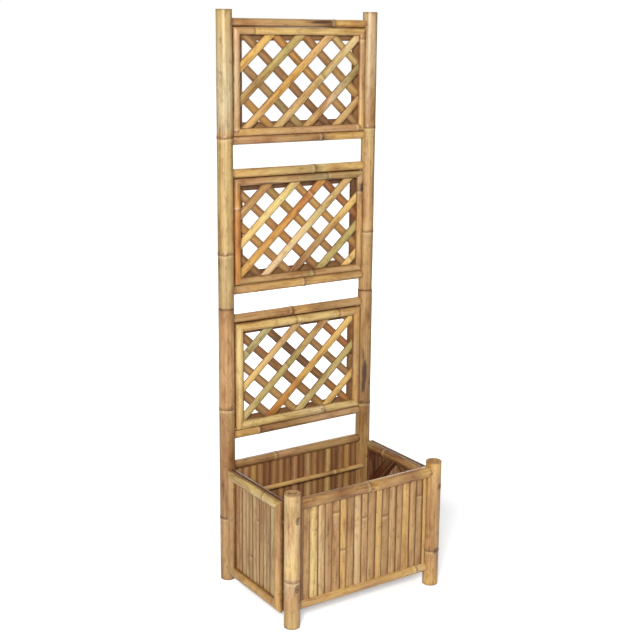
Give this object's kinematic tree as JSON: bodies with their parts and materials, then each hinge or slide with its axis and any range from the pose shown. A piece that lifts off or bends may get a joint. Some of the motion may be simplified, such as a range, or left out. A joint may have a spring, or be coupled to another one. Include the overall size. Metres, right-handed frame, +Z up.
{
  "type": "planter with trellis",
  "caption": "Free-standing bamboo floor planter: a slatted box on four culm posts, with a tall ladder of framed diagonal lattice panels between the rear posts.",
  "frame": {"origin": "on the ground, under the middle of the four posts", "axes": "+X along the width to the viewer's right, +Y from the front of the box to the trellis at the rear, +Z up"},
  "size_m": [0.4044, 0.3044, 1.25],
  "materials": {
    "bamboo_post": "satin bamboo skin, golden tan with brown blotches",
    "bamboo_rail": "satin bamboo skin, golden with brown node rings",
    "bamboo_tan_frame": "satin split bamboo, golden and pinkish tan",
    "bamboo_brown_frame": "satin split bamboo, orange brown and grey brown",
    "bamboo_golden_frame": "satin split bamboo, pale gold",
    "bamboo_green_frame": "satin split bamboo, greenish tan",
    "bamboo_inner_frame": "satin split bamboo, reddish brown",
    "bamboo_lattice": "satin bamboo slats, from pale gold to dark brown",
    "bamboo_front_slat": "satin bamboo slats, beige to pinkish tan",
    "bamboo_side_slat": "satin bamboo slats, tan to reddish brown",
    "bamboo_thin_pole": "satin thin bamboo pole, tan",
    "bamboo_peg": "plain bamboo peg",
    "steel_brad": "bright steel wire brad"
  },
  "bodies": {
    "root": {"box_front_lower_rail": "bamboo_rail", "box_front_slats": "bamboo_front_slat", "box_front_upper_rail": "bamboo_rail", "box_left_braces": "bamboo_inner_frame", "box_left_inner_frame": "bamboo_inner_frame", "box_left_outer_frame_front": "bamboo_green_frame", "box_left_outer_frame_lower": "bamboo_green_frame", "box_left_outer_frame_rear": "bamboo_green_frame", "box_left_outer_frame_upper": "bamboo_green_frame", "box_left_slats": "bamboo_side_slat", "box_rear_lower_rail": "bamboo_rail", "box_rear_slats": "bamboo_side_slat", "box_rear_upper_rail": "bamboo_rail", "box_right_braces": "bamboo_inner_frame", "box_right_inner_frame": "bamboo_inner_frame", "box_right_outer_frame_front": "bamboo_green_frame", "box_right_outer_frame_lower": "bamboo_green_frame", "box_right_outer_frame_rear": "bamboo_green_frame", "box_right_outer_frame_upper": "bamboo_green_frame", "box_right_slats": "bamboo_side_slat", "floor_bearers": "bamboo_thin_pole", "floor_slats": "bamboo_side_slat", "frame_brads": "steel_brad", "front_post_left": "bamboo_post", "front_post_right": "bamboo_post", "lower_panel_front_frame_left": "bamboo_golden_frame", "lower_panel_front_frame_lower": "bamboo_golden_frame", "lower_panel_front_frame_right": "bamboo_golden_frame", "lower_panel_front_frame_upper": "bamboo_golden_frame", "lower_panel_front_lattice": "bamboo_lattice", "lower_panel_lower_rail": "bamboo_rail", "lower_panel_rear_frame": "bamboo_golden_frame", "lower_panel_rear_lattice": "bamboo_lattice", "lower_panel_upper_rail": "bamboo_rail", "middle_panel_front_frame_left": "bamboo_brown_frame", "middle_panel_front_frame_lower": "bamboo_brown_frame", "middle_panel_front_frame_right": "bamboo_brown_frame", "middle_panel_front_frame_upper": "bamboo_brown_frame", "middle_panel_front_lattice": "bamboo_lattice", "middle_panel_lower_rail": "bamboo_rail", "middle_panel_rear_frame": "bamboo_brown_frame", "middle_panel_rear_lattice": "bamboo_lattice", "middle_panel_upper_rail": "bamboo_rail", "post_joint_pegs": "bamboo_peg", "rail_pegs": "bamboo_peg", "rear_cross_bar": "bamboo_thin_pole", "rear_post_left_lower": "bamboo_post", "rear_post_left_upper": "bamboo_post", "rear_post_right_lower": "bamboo_post", "rear_post_right_upper": "bamboo_post", "side_panel_pins": "bamboo_peg", "top_panel_front_frame_left": "bamboo_tan_frame", "top_panel_front_frame_lower": "bamboo_tan_frame", "top_panel_front_frame_right": "bamboo_tan_frame", "top_panel_front_frame_upper": "bamboo_tan_frame", "top_panel_front_lattice": "bamboo_lattice", "top_panel_lower_rail": "bamboo_rail", "top_panel_rear_frame": "bamboo_tan_frame", "top_panel_rear_lattice": "bamboo_lattice", "top_panel_upper_rail": "bamboo_rail"}
  },
  "joints": []
}
